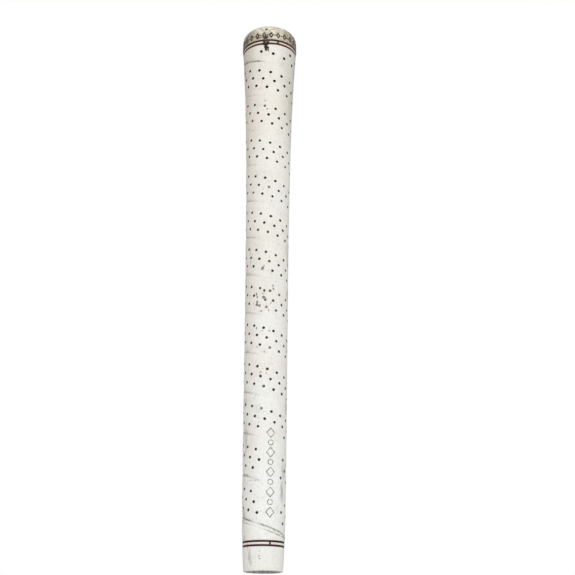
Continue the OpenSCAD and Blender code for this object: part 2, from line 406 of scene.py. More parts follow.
class Band:
    """A stretch of skin between two heights, unrolled and triangulated.

    Its points are placed freely, so that round recesses keep clean edges. It is cut open
    along a line at the back that bends away from every recess."""

    # The triangulation is done in millimetres
    SCALE = 1000.0
    SIDE_STEP, CLEARANCE = 0.7 * MM, 1.3 * MM
    # Shares of the spacing: from row to row, a point's shake, and the least gap between points
    ROW, SHAKE, GAP = 0.866, 0.08, 0.62

    def __init__(self, heights, columns, start, centres=()):
        self.low, self.high = low, high = heights
        self.columns, self.start = columns, start
        self.reference = sleeve_radius((low + high) / 2)
        self.centres = centres
        self.angle, self.z, self.depth, self.soil, self.edges = [], [], [], [], []
        self.lists = (self.angle, self.z, self.depth, self.soil)

    def arc(self, angle):
        """Distance round the axis for an angle."""
        return np.radians(angle) * self.reference

    def cut(self, z):
        """The cut's angle at a height: it swings round each recess that it would cross."""
        z = np.asarray(z, float)
        shift = np.zeros_like(z)
        for angle, height in self.centres:
            off = self.arc(wrapped(angle - self.start))
            reach = 2 * self.CLEARANCE
            if abs(off) < self.CLEARANCE:
                away = (math.copysign(self.CLEARANCE, -off) + off) if off else self.CLEARANCE
                bump = np.clip(1 - np.square((z - height) / reach), 0, 1)
                shift = shift + away * bump
        return self.start + np.degrees(shift / self.reference)

    def put(self, angle, z, depth=0.0, soil=0.0, closed=False):
        """Adds points, joined into a closed outline if asked."""
        angle = np.atleast_1d(np.asarray(angle, float))
        first = len(self.angle)
        for values, new in zip(self.lists, (angle, z, depth, soil)):
            values.extend(np.broadcast_to(new, angle.shape))
        if closed:
            run = np.arange(first, first + len(angle))
            self.edges.extend(np.column_stack([run, np.roll(run, -1)]).tolist())
        return first

    def outline(self, angle, z, dx, dz, depth, soil=0.0):
        """A closed outline round a place, dx and dz away from it along the surface."""
        edge = self.cut_at(z)
        angle = edge + (angle - edge) % 360
        radius = sleeve_radius(z)
        self.put(angle + np.degrees(dx / radius), z + dz, depth, soil, closed=True)

    def sides(self):
        """Adds the two rows of columns and the two sides of the cut. It is called first."""
        count = len(self.columns)
        self.bottom = self.put(self.columns, self.low)
        self.top = self.put(self.columns, self.high)
        steps = max(2, round((self.high - self.low) / self.SIDE_STEP))
        heights = np.linspace(self.low, self.high, steps + 1)
        inner = heights[1:-1]
        cut = self.cut(heights)
        cut[0] = cut[-1] = self.start
        self.left = self.put(cut[1:-1], inner)
        self.right = self.put(cut[1:-1] + 360, inner)
        corners = self.put([self.start + 360] * 2, [self.low, self.high])
        self.twins = {self.right + i: self.left + i for i in range(len(inner))}
        self.twins[corners] = self.bottom
        self.twins[corners + 1] = self.top
        runs = (
            [*range(self.bottom, self.bottom + count), corners],
            [*range(self.top, self.top + count), corners + 1],
            [self.bottom, *range(self.left, self.left + len(inner)), self.top],
            [corners, *range(self.right, self.right + len(inner)), corners + 1],
        )
        for run in runs:
            self.edges.extend(zip(run, run[1:]))
        self.cut_heights, self.cut_angles = heights, cut

    def cut_at(self, z):
        return np.interp(z, self.cut_heights, self.cut_angles)

    def scatter(self, angle, z, gap):
        """Adds the points that lie inside and at least gap away from every point so far."""
        inside = (z > self.low + gap) & (z < self.high - gap)
        angle, z = angle[inside], z[inside]
        taken = np.column_stack([self.arc(np.array(self.angle)), np.array(self.z)])
        cells = {}
        for i, (x, y) in enumerate((taken / gap).astype(int)):
            cells.setdefault((x, y), []).append(i)
        keep = []
        for a, h in zip(angle, z):
            edge = self.cut_at(h)
            a = edge + (a - edge) % 360
            if min(self.arc(a - edge), self.arc(edge + 360 - a)) < gap:
                continue
            p = np.array([self.arc(a), h])
            cx, cy = (p / gap).astype(int)
            cells_round = [(cx + i, cy + j) for i in (-1, 0, 1) for j in (-1, 0, 1)]
            around = [i for cell in cells_round for i in cells.get(cell, ())]
            if around and np.min(np.sum(np.square(taken[around] - p), axis=1)) < gap * gap:
                continue
            keep.append((a, h))
        if keep:
            self.put(*np.array(keep).T)

    def fill(self, spacing):
        """Covers what is left with an even pattern of points."""
        rows = np.arange(self.low, self.high, spacing * self.ROW)
        count = round(self.arc(360) / spacing)
        turns = self.start + np.arange(count) * 360 / count
        angle = np.concatenate([turns + (i % 2) * 180 / count for i in range(len(rows))])
        z = np.repeat(rows, count)
        shake = random.Random(7)
        z = z + np.array([shake.uniform(-self.SHAKE, self.SHAKE) for _ in z]) * spacing
        self.scatter(angle, z, spacing * self.GAP)

    def build(self, mesh, radius, dirt=None):
        """Triangulates, adds the surface to mesh and returns its lowest and highest rings."""
        angle, z = np.array(self.angle), np.array(self.z)
        depth, soil = np.array(self.depth), np.array(self.soil)
        # The dirt function adds soil from a point's place; on the sleeve it holds dirt and
        # painted shade
        if dirt is not None:
            soil = np.maximum(soil, dirt(angle, z))
        flat = np.column_stack([self.arc(angle), z]) * self.SCALE
        points = [Vector(p) for p in flat.tolist()]
        edges = [tuple(map(int, e)) for e in self.edges]
        _, _, faces, origins, _, _ = delaunay_2d_cdt(points, edges, [], 0, 1e-6, True)
        source = [o[0] for o in origins]
        indices = mesh.add(angle, radius(angle, z) - depth, z, soil)
        for face in faces:
            corner = [source[i] for i in face]
            middle = angle[corner].mean()
            edge = self.cut_at(z[corner].mean())
            if not edge < middle < edge + 360:
                continue
            (ax, ay), (bx, by), (cx, cy) = flat[corner]
            if (bx - ax) * (cy - ay) - (by - ay) * (cx - ax) < 0:
                corner.reverse()
            mesh.faces.append([int(indices[self.twins.get(i, i)]) for i in corner])
        count = len(self.columns)
        return indices[self.bottom:self.bottom + count], indices[self.top:self.top + count]


def turn_columns(start):
    """Angles of the columns that a lathed skin is made of, with the ticks' edges among them."""
    edges = []
    for z in (MOUTH_STRIPE, BUTT_STRIPE):
        radius = sleeve_radius(z - STRIPE_PITCH)
        for off in (STRIPE_WIDTH / 2, STRIPE_WIDTH / 2 + WALL, STRIPE_WIDTH / 2 + SOFT_EDGE):
            turn = math.degrees(off / radius)
            edges += [TICK_ANGLE - turn, TICK_ANGLE + turn]
    clear = math.degrees(0.7 * STRIPE_WIDTH / BODY_RADIUS)
    even = [start + i * 360 / COLUMNS for i in range(COLUMNS)]
    even = [a for a in even if abs(wrapped(a - TICK_ANGLE)) > clear]
    return np.array(sorted(even + [start + (a - start) % 360 for a in edges]))


def wall_share(off):
    """Share of a groove's depth at a distance from its middle: a flat floor, steep walls and
    soft upper edges."""
    half = STRIPE_WIDTH / 2
    return np.interp(np.abs(off), [half, half + WALL, half + SOFT_EDGE], [1, 0.08, 0])


def groove_rows(top, last=None):
    """Heights of the rows that a pair of grooves needs."""
    half = STRIPE_WIDTH / 2
    offs = [-half - SOFT_EDGE, -half - WALL, -half, half, half + WALL, half + SOFT_EDGE]
    rows = [centre + off for centre in (top - STRIPE_PITCH, top) for off in offs]
    return rows if last is None else [z for z in rows if z < last - WALL] + [last]


def groove_depth(angle, z, top):
    """Depth of a pair of grooves and their tick at a row's columns."""
    low = top - STRIPE_PITCH
    rings = max(wall_share(z - top), wall_share(z - low))
    across = wall_share(np.radians(wrapped(angle - TICK_ANGLE)) * sleeve_radius(low))
    tick = across if low < z < top else 0 * across
    return GROOVE_DEPTH * np.maximum(rings, tick)


DOT_SHAKE = random.Random(11)
# The dots grow with the flare, and those near the butt have kept all their paint
DOT_SIZES = [DOT_SHAKE.uniform(0.91, 1.02) + 0.15 * faded(z, 0.19, 0.25) for _, z in DOTS]
DOT_WEAR = [0.9 * DOT_SHAKE.random() * (1 - faded(z, 0.20, 0.22)) for _, z in DOTS]
# The dots whose paint is smudged most: rough angle and height in millimetres, and the wear
SMUDGED = (
    (-101, 137, 1), (-95, 122, 1), (-113, 119, 1), (-90, 118, 1), (-100, 70, 1),
    (-81, 99, 0.96), (-86, 178, 0.94), (-65, 117, 0.93), (-81, 126, 0.9), (-100, 222, 0.91),
    (-107, 127, 0.89),
)
# Degrees of turn that count as far as a millimetre of height
TURN_PER_MM = 6
for angle, z, wear in SMUDGED:
    gaps = [abs(wrapped(a - angle)) / TURN_PER_MM + abs(h - z * MM) / MM for a, h in DOTS]
    DOT_WEAR[gaps.index(min(gaps))] = wear


def dotted_band(columns):
    """The long middle of the sleeve: its dots, its panel's shapes and its seam."""
    band = Band(SLEEVE_BAND, columns, SLEEVE_CUT, DOTS)
    band.sides()
    # Each ring's soil value darkens the hole's rim and wall: partly dirt, partly painted shade in
    # the recess
    rings = (
        (0.29 * MM, 0, 0), (0.10 * MM, 0.012 * MM, 0.15), (0.02 * MM, 0.05 * MM, 0.9),
        (-0.01 * MM, DOT_DEPTH, 1),
    )
    for (angle, z), size in zip(DOTS, DOT_SIZES):
        for k, (beyond, depth, soil) in enumerate(rings):
            dx, dz = circle(DOT_RADIUS * size + beyond, DOT_SIDES, k % 2 * 180 / DOT_SIDES)
            band.outline(angle, z, dx, dz, depth, soil)
        band.outline(angle, z, np.zeros(1), np.zeros(1), DOT_DEPTH, 1)
    # The soil values darken each pressed line and its edges: partly dirt, partly painted shade in
    # the groove
    lines = (
        (-0.17 * MM, 0, 0), (-0.06 * MM, 0, 0.55), (0.05 * MM, SHAPE_DEPTH, DARKEST_BEFORE_PAINT),
        (SHAPE_LINE - 0.05 * MM, SHAPE_DEPTH, DARKEST_BEFORE_PAINT), (SHAPE_LINE + 0.06 * MM, 0, 0.55),
        (SHAPE_LINE + 0.17 * MM, 0, 0),
    )
    for z, shape in panel_shapes():
        for inset, depth, soil in lines:
            band.outline(PANEL_ANGLE, z, *shape(inset), depth, soil)
    crease_points(band)
    band.fill(SLEEVE_SPACING)
    return band


def crease_points(band):
    """Rows of points along the seam, its second crease and its fold."""
    step = math.degrees(0.5 * MM / BODY_RADIUS)
    turns = int(SEAM_HEIGHT / SEAM_PITCH) + 3
    angle = SLEEVE_CUT + np.arange(0, 360 * turns, step) - 720
    seam_z = SEAM_HEIGHT - SEAM_PITCH * angle / 360
    tail, fold = seam_z < 25 * MM, np.abs(seam_z - FOLD_HEIGHT) < 8 * MM
    along = (
        (seam_z > 0, 0 * seam_z, (0.06, -0.12, 0.3, -0.36, 0.8, -0.8, 1.7, -1.6, 2.7)),
        (tail, -tail_gap(seam_z), (0.0, 0.2, -0.2, 0.45, -0.45)),
        (fold, FOLD_RISE + 0 * seam_z, (0.0, 0.35, -0.35)),
    )
    for part, rise, offs in along:
        part = part & (seam_z > SEAM_END - MM)
        for off in offs:
            band.scatter(angle[part], (seam_z + rise)[part] + off * MM, CREASE_SPACING)


def sleeve(material):
    mesh = Mesh()
    columns = turn_columns(SLEEVE_CUT)

    def row(radius, z, soil=0.0):
        return mesh.add(columns, radius, z, soil)

    # The bore and the rounded lip of the mouth are darkened through their soil value: painted
    # shade
    rings = [row(BORE_RADIUS, 0, 0.5)]
    lip_radius = sleeve_radius(MOUTH_ROUND) - MOUTH_ROUND
    for a in np.radians([-90, -60, -30]):
        height = MOUTH_ROUND * (1 + math.sin(a))
        rings.append(row(lip_radius + MOUTH_ROUND * math.cos(a), height, 0.3))
    for z in np.linspace(MOUTH_ROUND, groove_rows(MOUTH_STRIPE)[0], 12)[:-1]:
        rings.append(row(sleeve_radius(z), z))
    for z in groove_rows(MOUTH_STRIPE):
        rings.append(row(sleeve_radius(z) - groove_depth(columns, z, MOUTH_STRIPE), z))
    mesh.stack(rings)
    bottom, top = dotted_band(columns).build(mesh, sleeve_skin, seam_soil_and_shade)
    mesh.join(rings[-1], bottom)
    upper = [top]
    for z in groove_rows(BUTT_STRIPE, SLEEVE_LENGTH):
        depth = groove_depth(columns, z, BUTT_STRIPE)
        upper.append(row(sleeve_radius(z) - depth, z, np.where(depth > 0.01 * MM, 0.85, 0)))
    upper.append(row(SKIRT_RADIUS, SLEEVE_LENGTH))
    upper.append(row(SKIRT_RADIUS, SKIRT_END))
    # The bore's soil value darkens it: painted shade
    for z in np.linspace(SKIRT_END, 0, 12)[:-1]:
        upper.append(row(BORE_RADIUS, z, 0.5))
    mesh.stack(upper + rings[:1])
    return mesh.piece("sleeve", material, ["grip_sleeve"])


def mark_places():
    """Angle and height of every diamond. A dot follows half a step after each."""
    return [(TICK_ANGLE + i * 360 / MARK_COUNT, MARK_HEIGHT) for i in range(MARK_COUNT)]


def marked_band(columns):
    """The part of the cap's side that holds the marks."""
    band = Band(CAP_BAND, columns, CAP_CUT)
    band.sides()
    # The soil values darken each mark's recess and edge, and each dot's: partly dirt, partly
    # painted shade
    insets = (
        (-0.07 * MM, 0, 0.45), (0, 0.04 * MM, 0.95), (0.04 * MM, MARK_DEPTH, 1),
        (MARK_LINE - 0.04 * MM, MARK_DEPTH, 1), (MARK_LINE, 0.04 * MM, 0.95),
        (MARK_LINE + 0.07 * MM, 0, 0.45),
    )
    for angle, z in mark_places():
        for inset, depth, soil in insets:
            dx, dz = diamond(DIAMOND_WIDTH / 2, DIAMOND_HEIGHT / 2, inset)
            band.outline(angle, z, dx, dz, depth, soil)
        dot_angle = angle + 180 / MARK_COUNT
        for beyond, depth, soil in ((0.06, 0, 0), (0.01, 0.04, 0.5), (-0.02, MARK_DEPTH / MM, 1)):
            dx, dz = circle(MARK_DOT_RADIUS + beyond * MM, MARK_DOT_SIDES)
            band.outline(dot_angle, z, dx, dz, depth * MM, soil)
    band.fill(CAP_SPACING)
    return band


def end_cap(material):
    mesh = Mesh()
    columns = turn_columns(CAP_CUT)

    def row(radius, z, soil=0.0):
        return mesh.add(columns, radius, z, soil)

    floor = sleeve_radius(SLEEVE_LENGTH) - GROOVE_DEPTH
    half = STRIPE_WIDTH / 2
    rings = [row(floor, SLEEVE_LENGTH, 1), row(floor, SLEEVE_LENGTH + half, 1)]
    for off, depth, soil in ((half + WALL, 0.05 * MM, 0.8), (half + SOFT_EDGE, 0, 0.3)):
        z = SLEEVE_LENGTH + off
        rings.append(row(cap_radius(z) - depth, z, soil))
    mesh.stack(rings)
    bottom, top = marked_band(columns).build(mesh, lambda angle, z: cap_radius(z))
    mesh.join(rings[-1], bottom)
    upper = [top]
    corner = 0.5 ** (1 / CAP_POWER)
    for share in np.linspace(SHOULDER_START, corner, 9)[1:]:
        z = SLEEVE_LENGTH + share * CAP_HEIGHT
        upper.append(row(cap_radius(z), z))
    rim = VENT_RADIUS + 0.25 * MM
    for share in np.linspace(corner, rim / CAP_RADIUS, 16)[1:]:
        z = SLEEVE_LENGTH + CAP_HEIGHT * (1 - share ** CAP_POWER) ** (1 / CAP_POWER)
        upper.append(row(share * CAP_RADIUS, z))
    crown = SLEEVE_LENGTH + CAP_HEIGHT
    # Inside the vent, the seat, the bore and the skirt the soil value darkens the rubber: painted
    # shade
    inside = (
        (VENT_RADIUS + 0.07 * MM, crown - 0.07 * MM, 0.5), (VENT_RADIUS, crown - 0.25 * MM, 1),
        (VENT_RADIUS, SEAT_HEIGHT, 1), (BORE_RADIUS, SEAT_HEIGHT, 1), (BORE_RADIUS, SKIRT_END, 1),
        (SKIRT_RADIUS, SKIRT_END, 1), (SKIRT_RADIUS, SLEEVE_LENGTH, 1),
    )
    upper += [row(*point) for point in inside]
    mesh.stack(upper + rings[:1])
    return mesh.piece("cap", material, ["end_cap"])


# ---- paint

def stripe_paint(name, node, top, material):
    """Paint in a pair of grooves and their tick, a little hollow across."""
    mesh = Mesh()
    columns = turn_columns(SLEEVE_CUT)
    half = STRIPE_WIDTH / 2
    for centre in (top - STRIPE_PITCH, top):
        rings = []
        for across, depth in PAINT_SECTION:
            z = centre + across * half
            rings.append(mesh.add(columns, sleeve_radius(centre) - depth * MM, z))
        mesh.stack(rings + rings[:1])
    low = top - STRIPE_PITCH
    radius = sleeve_radius(low)
    turn = math.degrees(half / radius)
    rows = []
    for z in np.linspace(low + 0.9 * half, top - 0.9 * half, 4):
        across, depth = np.array(PAINT_SECTION).T
        radii = sleeve_radius(z) - depth * MM
        rows.append(mesh.add(TICK_ANGLE + across * turn, radii, z))
    mesh.stack(rows)
    mesh.faces.append(rows[0][::-1].tolist())
    mesh.faces.append(rows[-1].tolist())
    return mesh.piece(name, material, [node])


def dot_paint(material):
    """A drop of paint in every dot, a little hollow on top."""
    mesh = Mesh()
    nothing = np.zeros(1)
    floor, edge_depth, mid_depth, centre_depth = 0.47 * MM, 0.09 * MM, 0.13 * MM, 0.14 * MM
    for (angle, z), size, wear in zip(DOTS, DOT_SIZES, DOT_WEAR):
        top = float(sleeve_skin(np.array([angle]), np.array([z]))[0])
        edge = circle(DOT_RADIUS * size, DOT_SIDES)
        mid = circle(0.6 * DOT_RADIUS * size, DOT_SIDES)
        rings = [
            mesh.around(angle, z, *edge, top - floor, wear),
            mesh.around(angle, z, *edge, top - edge_depth, wear),
            mesh.around(angle, z, *mid, top - mid_depth, wear),
        ]
        mesh.stack(rings)
        low = mesh.around(angle, z, nothing, nothing, top - floor, wear)[0]
        high = mesh.around(angle, z, nothing, nothing, top - centre_depth, wear)[0]
        mesh.fan(rings[0], low, flip=True)
        mesh.fan(rings[-1], high)
    return mesh.piece("dot_paint", material, ["perforation_paint"])


def mark_paint(material):
    """Paint in the line of every diamond and in the dot after it."""
    mesh = Mesh()
    radius = cap_radius(MARK_HEIGHT)
    outer, inner = -0.01 * MM, MARK_LINE + 0.01 * MM
    loops = ((outer, 0.32), (outer, 0.1), (MARK_LINE / 2, 0.14), (inner, 0.1), (inner, 0.32))
    wear = random.Random(5)
    for angle, z in mark_places():
        share = wear.random()
        rings = []
        for inset, depth in loops:
            dx, dz = diamond(DIAMOND_WIDTH / 2, DIAMOND_HEIGHT / 2, inset)
            if rings:
                count = len(rings[0])
                pick = np.linspace(0, len(dx), count, endpoint=False)
                whole = np.append(dx, dx[0]), np.append(dz, dz[0])
                steps = np.arange(len(dx) + 1)
                dx, dz = np.interp(pick, steps, whole[0]), np.interp(pick, steps, whole[1])
            rings.append(mesh.around(angle, z, dx, dz, radius - depth * MM, share))
        mesh.stack(rings + rings[:1])
        dx, dz = circle(MARK_DOT_RADIUS - 0.015 * MM, MARK_DOT_SIDES)
        dot_angle = angle + 180 / MARK_COUNT
        low = mesh.around(dot_angle, z, dx, dz, radius - 0.32 * MM, share)
        high = mesh.around(dot_angle, z, dx, dz, radius - 0.12 * MM, share)
        mesh.join(low, high)
        mesh.faces.append(low[::-1].tolist())
        mesh.faces.append(high.tolist())
    return mesh.piece("mark_paint", material, ["cap_mark_paint"])


# ---- materials

class Look:
    """A principled material, the colour built up so far, and short calls that add nodes."""

    def __init__(self, name, ground):
        self.material = bpy.data.materials.new(name)
        self.material.use_nodes = True
        self.nodes = self.material.node_tree.nodes
        self.links = self.material.node_tree.links
        self.bsdf = self.nodes["Principled BSDF"]
        self.place = self.add("TexCoord", {}, "Object")
        self.x = self.add("SeparateXYZ", {0: self.place}, "X")
        self.z = self.add("SeparateXYZ", {0: self.place}, "Z")
        self.colour = ground

    def feed(self, socket, value):
        """Links an output to a socket, or sets the socket to a plain value."""
        if isinstance(value, bpy.types.NodeSocket):
            self.links.new(value, socket)
        elif socket.type == "RGBA":
            socket.default_value = (*value, 1)
        else:
            socket.default_value = value

    def add(self, kind, sockets, output=0, **settings):
        """Adds a node with its settings, feeds its sockets and returns one of its outputs."""
        node = self.nodes.new("ShaderNode" + kind)
        for key, value in settings.items():
            setattr(node, key, value)
        for key, value in sockets.items():
            self.feed(node.inputs[key], value)
        return node.outputs[output]

    def math(self, operation, a, b=0.0):
        return self.add("Math", {0: a, 1: b}, operation=operation)

    def times(self, a, b):
        return self.math("MULTIPLY", a, b)

    def most(self, a, b):
        return self.math("MAXIMUM", a, b)

    def vector(self, operation, a, b):
        output = "Value" if operation == "DISTANCE" else "Vector"
        return self.add("VectorMath", {0: a, 1: b}, output, operation=operation)

    def out(self):
        """Distance from the grip's axis."""
        return self.vector("DISTANCE", self.vector("MULTIPLY", self.place, (1, 1, 0)), (0, 0, 0))

    def ramp(self, value, low, high, at_high=1.0, at_low=0.0):
        """Goes from at_low to at_high while the value goes from low to high, with soft ends."""
        ends = {"From Min": low, "From Max": high, "To Min": at_low, "To Max": at_high}
        return self.add("MapRange", {"Value": value, **ends}, interpolation_type="SMOOTHSTEP")

    def mix(self, share, a, b):
        return self.add("Mix", {0: share, 6: a, 7: b}, 2, data_type="RGBA")

    def lay(self, share, colour):
        """Covers a share of the colour so far with another one."""
        self.colour = self.mix(share, self.colour, colour)

    def noise(self, size, detail=3.0, rough=0.5, stretch=1, shift=0.0, output="Fac"):
        """Noise with features about size millimetres across, and stretch times longer along Z."""
        size = size * MM
        moved = self.vector("ADD", self.place, (shift, shift, shift))
        scaled = self.vector("MULTIPLY", moved, (1 / size, 1 / size, 1 / size / stretch))
        kind = {"Scale": 1, "Detail": detail, "Roughness": rough}
        return self.add("TexNoise", {"Vector": scaled, **kind}, output)

    def soil(self):
        return self.add("Attribute", {}, "Fac", attribute_name="soil")

    def spots(self, places, ragged=0.0, size=1.0):
        """The strongest of several spots, in the form of the lists below. Noise of the given size
        moves their edges by up to the ragged length. All lengths are in millimetres."""
        place = self.place
        if ragged:
            noise = self.noise(size, 3, 0.6, shift=0.7, output="Color")
            shift = self.vector("SUBTRACT", noise, (0.5, 0.5, 0.5))
            push = 2 * ragged * MM
            place = self.vector("ADD", place, self.vector("MULTIPLY", shift, (push, push, push)))
        squashed, total = {}, 0.0
        for angle, z, half_width, half_height, strength in places:
            squash = round(half_width / half_height, 2)
            if squash not in squashed:
                squashed[squash] = self.vector("MULTIPLY", place, (1, 1, squash))
            radius = sleeve_radius(min(z * MM, SLEEVE_LENGTH))
            turn = math.radians(angle)
            centre = (radius * math.cos(turn), radius * math.sin(turn), z * MM * squash)
            away = self.vector("DISTANCE", squashed[squash], centre)
            one = self.ramp(away, 0.4 * half_width * MM, 1.1 * half_width * MM, 0.0, strength)
            total = self.most(total, one)
        return total

    def bump(self, height, distance, strength, under=None):
        sockets = {"Distance": distance * MM, "Strength": strength, "Height": height}
        if under is not None:
            sockets["Normal"] = under
        return self.add("Bump", sockets)

    def finish(self, rough, normal, gloss):
        looks = {"Base Color": self.colour, "Roughness": rough, "Specular IOR Level": gloss}
        for key, value in {**looks, "Normal": normal}.items():
            self.feed(self.bsdf.inputs[key], value)
        return self.material


# Spots on the grip: angle, height, half width and half height in millimetres, and strength.
# Those in front were read off the photograph, turned into angles and heights with the
# fitted camera and set to round values. Those at the back were made up.
# The dark smear crosses the stripes at the butt and drips below them
SMEAR_COLOUR = (0.014, 0.009, 0.006)
SMEAR = (
    (-98, 255.5, 1.9, 0.85, 1), (-98, 254, 1.15, 1.3, 1), (-98, 253, 0.75, 1.7, 1),
    (-93, 253, 0.5, 1.9, 1), (-99, 259, 1.5, 0.7, 0.7), (-99, 260, 0.6, 0.7, 0.7),
    (-97, 264, 0.7, 0.7, 0.7), (-102, 257, 0.7, 0.8, 0.6), (-94, 256.5, 0.7, 0.8, 0.6),
)
# The browner stain round it
STAIN_COLOUR = (0.075, 0.035, 0.024)
STAIN = (
    (-98, 257, 2.3, 1.6, 1), (-99, 259.5, 2.2, 1.2, 0.9), (-112, 259.5, 3.2, 0.8, 0.6),
    (-89, 255.5, 2.6, 0.6, 0.4), (-106, 255.5, 2, 0.7, 0.45), (-97, 264, 1, 1, 0.5),
    (-72, 256.5, 2, 0.9, 0.4),
)
# Small dark marks: a curl and a comma in the middle, and dots round them
MARKS = (
    (-96, 126, 0.75, 1, 1), (-98, 123, 0.85, 0.6, 0.85), (-96, 122.5, 0.85, 0.6, 0.9),
    (-93, 121.5, 0.8, 0.85, 1), (-99, 124.5, 0.9, 0.4, 0.6), (-117, 124.5, 0.55, 1, 0.75),
    (-115, 123, 0.55, 0.9, 0.75), (-115, 120.5, 0.6, 1, 0.9), (-113, 119, 0.7, 0.55, 0.85),
    (-109, 118.5, 0.75, 0.5, 0.85), (-107, 119, 0.45, 0.7, 0.8), (-104, 116, 0.8, 0.5, 0.65),
    (-84, 116.5, 0.4, 0.9, 0.5), (-78, 120, 0.45, 0.7, 0.5), (-73, 128.5, 0.6, 0.7, 0.55),
    (-72, 127, 0.7, 0.8, 0.6), (-116, 108, 0.45, 0.7, 0.8), (-100, 106.5, 0.6, 0.4, 0.5),
    (-82, 106.5, 0.8, 0.5, 0.5), (-114, 99, 0.45, 0.45, 0.7), (-94, 96.5, 0.5, 0.45, 0.6),
    (-102, 136.5, 1.1, 0.55, 0.6), (-98, 138, 0.45, 1, 0.5), (-94, 220, 0.7, 0.7, 0.5),
    (-99, 224.5, 0.5, 0.5, 0.7), (-134, 209.5, 0.5, 0.5, 0.6), (-101, 87, 0.6, 0.5, 0.5),
    (-88, 86.5, 0.6, 0.5, 0.5), (-100, 70.5, 0.7, 0.7, 0.55), (-102, 6, 0.4, 0.45, 0.7),
    (-100, 5, 0.4, 0.4, 0.7), (-100, 8, 0.4, 0.4, 0.5), (-60, 17, 0.5, 0.8, 0.6),
)
# Broad dark or grey scuff marks, most of them at the sides, where some are partly painted shade
SCUFFS_AND_SHADE = (
    (-140, 146, 0.5, 4, 0.9), (-138, 140, 0.5, 3, 0.8), (-36, 34, 1.6, 6, 1),
    (-30, 44, 2, 6, 0.8), (-17, 72, 2.2, 4, 0.9), (-155, 74, 2, 3, 0.7),
    (-147, 57, 1.4, 10, 0.8), (-157, 24, 1.6, 5, 0.9), (-152, 14, 1.4, 2, 0.7),
    (-149, 41, 3, 0.9, 0.8), (-120, 38.5, 4, 0.6, 0.9), (-128, 36.5, 2, 0.8, 0.6),
    (-132, 6.5, 0.9, 4, 0.9), (-127, 4, 0.8, 3, 0.6), (-138, 10, 0.8, 3, 0.5),
    (-14, 126, 2.4, 4, 0.9), (-16, 144, 2.2, 6, 0.6), (-20, 100, 1.6, 4, 0.5),
    # The last spot on the line below is painted shade at the -X edge near the butt
    (-112, 70, 1.6, 3, 0.35), (-62, 247, 2, 4, 0.25), (-166, 244, 1.6, 6, 0.9),
    (-25, 150, 1.5, 9, 0.4), (-152, 200, 1.5, 14, 0.35), (-28, 222, 2, 14, 0.4),
    (60, 120, 5, 14, 0.7), (150, 190, 4, 12, 0.7), (95, 40, 4, 10, 0.6),
    (20, 215, 4, 9, 0.6), (120, 95, 3, 8, 0.5), (70, 225, 3, 7, 0.5),
    (170, 60, 3, 10, 0.6),
)


# Colours of the sleeve's rubber, of what lies on it, and of the shade painted on it
CLEAN, WARM, GREY = (0.775, 0.783, 0.762), (0.70, 0.655, 0.555), (0.60, 0.59, 0.56)
WARM_SIDE_SHADE, BLUSH = (0.70, 0.57, 0.50), (0.66, 0.50, 0.42)
OLIVE_SHADE, GREY_SHADE = (0.30, 0.265, 0.19), (0.33, 0.34, 0.31)
FLANK_SHADE, MOTTLE, SCUFF_AND_SHADE_GREY = (0.30, 0.31, 0.28), (0.36, 0.34, 0.28), (0.29, 0.28, 0.245)
SPECK, CREASE_DIRT_AND_SHADE = (0.055, 0.052, 0.034), (0.155, 0.142, 0.115)
BLED_PAINT = (0.42, 0.27, 0.19)
BLACK_INK, BROWN_INK = (0.015, 0.014, 0.012), (0.03, 0.012, 0.007)


def lay_smear(look):
    """The stain, and the smear over it."""
    look.lay(look.ramp(look.spots(STAIN, 0.6, 1.6), 0.15, 0.75, 0.8), STAIN_COLOUR)
    look.lay(look.ramp(look.spots(SMEAR, 0.45, 1.3), 0.12, 0.5), SMEAR_COLOUR)


def lay_age_and_warm_shade(look):
    """Rubber that has yellowed towards the butt, with grey blotches, a warm painted shade on the
    -X side and a blush at -X.
    """
    toward_butt = look.ramp(look.z, 20 * MM, 262 * MM, 0.42)
    clouds = look.ramp(look.noise(26, 3, 0.55), 0.35, 0.68, 0.3)
    look.lay(look.math("ADD", toward_butt, clouds), WARM)
    # Painted warm shade on the -X side
    look.lay(look.ramp(look.x, -2 * MM, -10 * MM, 0.2), WARM_SIDE_SHADE)
    look.lay(look.ramp(look.noise(5.5, 4, 0.62, shift=0.3), 0.5, 0.74, 0.35), GREY)
    clouds = look.ramp(look.noise(3, 4, 0.6, shift=0.8), 0.44, 0.62)
    blush = look.times(clouds, look.ramp(look.z, 200 * MM, 235 * MM, 0.22))
    look.lay(look.times(blush, look.ramp(look.x, 4 * MM, -4 * MM, 1.0, 0.1)), BLUSH)


def lay_side_shade_and_grime(look):
    """Both sides are darker near the butt, partly dirt and partly painted shade, and the
    outermost flanks carry patches of painted shade.
    """
    # Partly dirt and partly painted shade: the -X flank near the butt, then the +X flank
    butt = look.ramp(look.z, 195 * MM, 250 * MM, 0.31)
    look.lay(look.times(look.ramp(look.x, -5.5 * MM, -11.5 * MM), butt), OLIVE_SHADE)
    butt = look.ramp(look.z, 190 * MM, 240 * MM, 0.3)
    look.lay(look.times(look.ramp(look.x, 3 * MM, 12 * MM), butt), GREY_SHADE)
    # Painted shade in grey patches along the flanks that face +X and -X
    turned = look.math("DIVIDE", look.x, look.out())
    butt = look.ramp(look.z, 205 * MM, 245 * MM, 0.42, 0.22)
    flank_shade = look.times(look.ramp(turned, 0.9, 0.995), butt)
    flank_shade = look.most(flank_shade, look.ramp(turned, -0.88, -0.99, 0.12))
    clouds = look.noise(6, 4, 0.6, stretch=2, shift=0.7)
    look.lay(look.times(flank_shade, look.ramp(clouds, 0.35, 0.6, 1.0, 0.35)), FLANK_SHADE)


